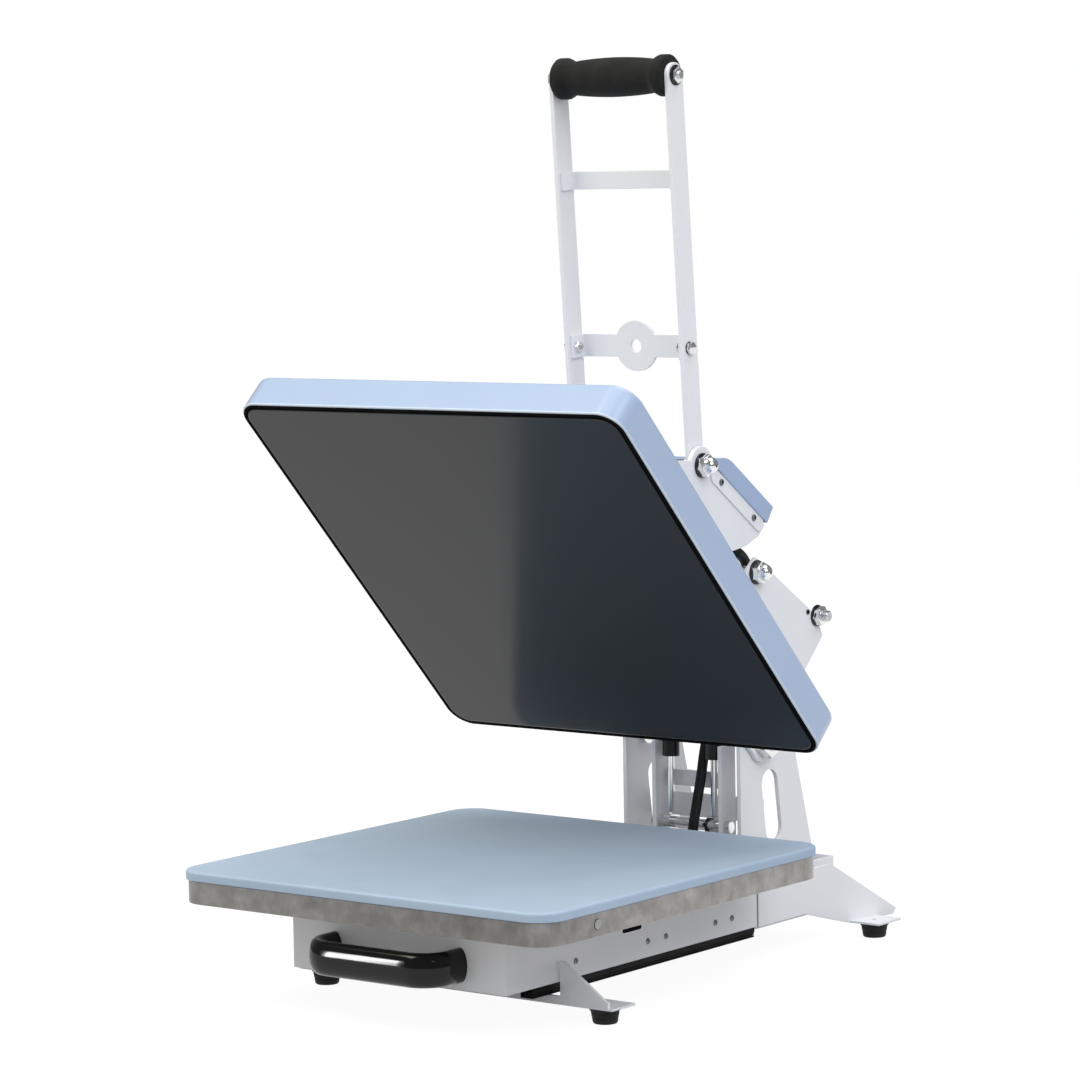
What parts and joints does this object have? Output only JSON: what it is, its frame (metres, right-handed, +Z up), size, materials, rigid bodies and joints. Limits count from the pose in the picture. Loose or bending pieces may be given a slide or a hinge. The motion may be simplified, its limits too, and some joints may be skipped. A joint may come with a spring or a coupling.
{
  "type": "slide-out heat press",
  "caption": "Clamshell heat press with a slide-out lower platen, a lifting heated platen on sprung arms, a long toggle handle and a sloped control box.",
  "frame": {"origin": "on the ground under the middle of the press's bounding box, head open and drawer in", "axes": "+X to the operator's right, +Y to the rear, +Z up"},
  "size_m": [0.389, 0.5914, 0.7629],
  "materials": {
    "white_powder_coat": "satin powder coat",
    "blue_gloss_paint": "gloss paint",
    "blue_silicone": "matte silicone",
    "bare_aluminium": "brushed, bare",
    "non_stick_coating": "dark gloss non-stick coating",
    "chrome": "bright plated steel",
    "zinc_steel": "zinc plated",
    "black_steel": "black gloss",
    "black_rubber": "matte",
    "black_foam": "soft foam",
    "black_plastic": "gloss",
    "panel_film": "printed film",
    "white_plastic": "gloss",
    "insulation_wool": "fibre wool"
  },
  "bodies": {
    "base": {"base_tray": "white_powder_coat", "front_leg": "white_powder_coat", "rear_leg_left": "white_powder_coat", "rear_leg_right": "white_powder_coat", "upright_left": "white_powder_coat", "upright_right": "white_powder_coat", "spring_frame": "white_powder_coat", "rear_cross_bar": "white_powder_coat", "slide_fixed": "black_steel", "feet": "black_rubber", "pivot_axles": "chrome", "axle_nuts": "chrome", "spring_lower_pin": "chrome", "link_pins": "chrome", "power_inlet": "black_plastic", "head_cable": "black_rubber"},
    "drawer": {"drawer_carriage": "white_powder_coat", "drawer_pull": "black_plastic", "lower_platen": "bare_aluminium", "silicone_pad": "blue_silicone", "slide_inner": "black_steel", "slide_screws": "zinc_steel", "platen_screws": "zinc_steel", "edge_plugs": "bare_aluminium"},
    "slide_middle": {"slide_middle": "black_steel"},
    "lift_arm": {"arm_plate_left": "white_powder_coat", "arm_plate_right": "white_powder_coat", "platen_bracket": "white_powder_coat", "arm_cross_bolts": "chrome", "arm_nuts": "chrome", "handle_pivot_bolts": "chrome", "heat_platen": "non_stick_coating", "platen_cover": "blue_gloss_paint", "rim_seal": "black_rubber", "heating_element": "zinc_steel", "insulation": "insulation_wool", "control_chassis": "white_powder_coat", "control_lid": "blue_gloss_paint", "control_panel": "panel_film", "display": "black_plastic", "lid_screws": "zinc_steel"},
    "button_up": {"button_up": "white_plastic"},
    "button_down": {"button_down": "white_plastic"},
    "button_set": {"button_set": "white_plastic"},
    "power_switch": {"power_switch": "black_plastic"},
    "pressure_knob": {"pressure_knob": "black_plastic"},
    "handle": {"handle_bar_left": "white_powder_coat", "handle_bar_right": "white_powder_coat", "handle_grip": "black_foam", "grip_rod": "chrome", "handle_cross_bar": "white_powder_coat", "handle_disc_bar": "white_powder_coat", "handle_bolts": "chrome", "knee_pins": "chrome"},
    "link_left": {"link_left": "white_powder_coat"},
    "link_right": {"link_right": "white_powder_coat"},
    "gas_rod_left": {"gas_rod_left": "chrome"},
    "gas_rod_right": {"gas_rod_right": "chrome"},
    "gas_cylinder_left": {"gas_cylinder_left": "black_steel"},
    "gas_cylinder_right": {"gas_cylinder_right": "black_steel"}
  },
  "joints": [
    {"name": "lift", "type": "hinge", "parent": "base", "child": "lift_arm", "pos_m": [0, 0.17475, 0.176], "axis": [1, 0, 0], "range_deg": [0, 46.5], "stiffness_Nm_per_rad": 15, "springref_deg": -143.24, "deforming": ["head_cable"]},
    {"name": "handle_pivot", "type": "hinge", "parent": "lift_arm", "child": "handle", "pos_m": [0, 0.08777, 0.42019], "axis": [1, 0, 0], "range_deg": [0, 40.93]},
    {"name": "link_left_pivot", "type": "hinge", "parent": "base", "child": "link_left", "pos_m": [-0.055, 0.15875, 0.195], "axis": [1, 0, 0], "range_deg": [0, 44.65]},
    {"name": "link_right_pivot", "type": "hinge", "parent": "base", "child": "link_right", "pos_m": [0.055, 0.15875, 0.195], "axis": [1, 0, 0], "range_deg": [0, 44.65]},
    {"name": "gas_rod_left_pivot", "type": "hinge", "parent": "base", "child": "gas_rod_left", "pos_m": [-0.023, 0.16075, 0.101], "axis": [1, 0, 0], "range_deg": [0, 31.17]},
    {"name": "gas_rod_right_pivot", "type": "hinge", "parent": "base", "child": "gas_rod_right", "pos_m": [0.023, 0.16075, 0.101], "axis": [1, 0, 0], "range_deg": [0, 31.17]},
    {"name": "gas_cylinder_left_slide", "type": "slide", "parent": "gas_rod_left", "child": "gas_cylinder_left", "axis": [0, -0.023, -0.9997], "range_m": [0, 0.0232]},
    {"name": "gas_cylinder_right_slide", "type": "slide", "parent": "gas_rod_right", "child": "gas_cylinder_right", "axis": [0, -0.023, -0.9997], "range_m": [0, 0.0232]},
    {"name": "drawer_slide", "type": "slide", "parent": "base", "child": "drawer", "axis": [0, -1, 0], "range_m": [0, 0.3]},
    {"name": "slide_middle_slide", "type": "slide", "parent": "base", "child": "slide_middle", "axis": [0, -1, 0], "range_m": [0, 0.15]},
    {"name": "pressure_knob_turn", "type": "hinge", "parent": "lift_arm", "child": "pressure_knob", "pos_m": [0, -0.04627, 0.36329], "axis": [0, 0.7254, 0.6884], "continuous": true},
    {"name": "power_switch_rock", "type": "hinge", "parent": "lift_arm", "child": "power_switch", "pos_m": [-0.014, 0.1699, 0.35922], "axis": [1, 0, 0], "range_deg": [0, 12]},
    {"name": "button_up_press", "type": "slide", "parent": "lift_arm", "child": "button_up", "axis": [0, 0.4462, -0.8949], "range_m": [0, 0.0008], "stiffness_N_per_m": 800},
    {"name": "button_down_press", "type": "slide", "parent": "lift_arm", "child": "button_down", "axis": [0, 0.4462, -0.8949], "range_m": [0, 0.0008], "stiffness_N_per_m": 800},
    {"name": "button_set_press", "type": "slide", "parent": "lift_arm", "child": "button_set", "axis": [0, 0.4462, -0.8949], "range_m": [0, 0.0008], "stiffness_N_per_m": 800}
  ],
  "couplings": [
    {"joint": "handle_pivot", "follows": "lift", "ratio": 0.88},
    {"joint": "link_left_pivot", "follows": "lift", "ratio": 0.96},
    {"joint": "link_right_pivot", "follows": "lift", "ratio": 0.96},
    {"joint": "gas_rod_left_pivot", "follows": "lift", "ratio": 0.67},
    {"joint": "gas_rod_right_pivot", "follows": "lift", "ratio": 0.67},
    {"joint": "gas_cylinder_left_slide", "follows": "lift", "m_per_rad": 0.0285},
    {"joint": "gas_cylinder_right_slide", "follows": "lift", "m_per_rad": 0.0285},
    {"joint": "slide_middle_slide", "follows": "drawer_slide", "ratio": 0.5}
  ]
}
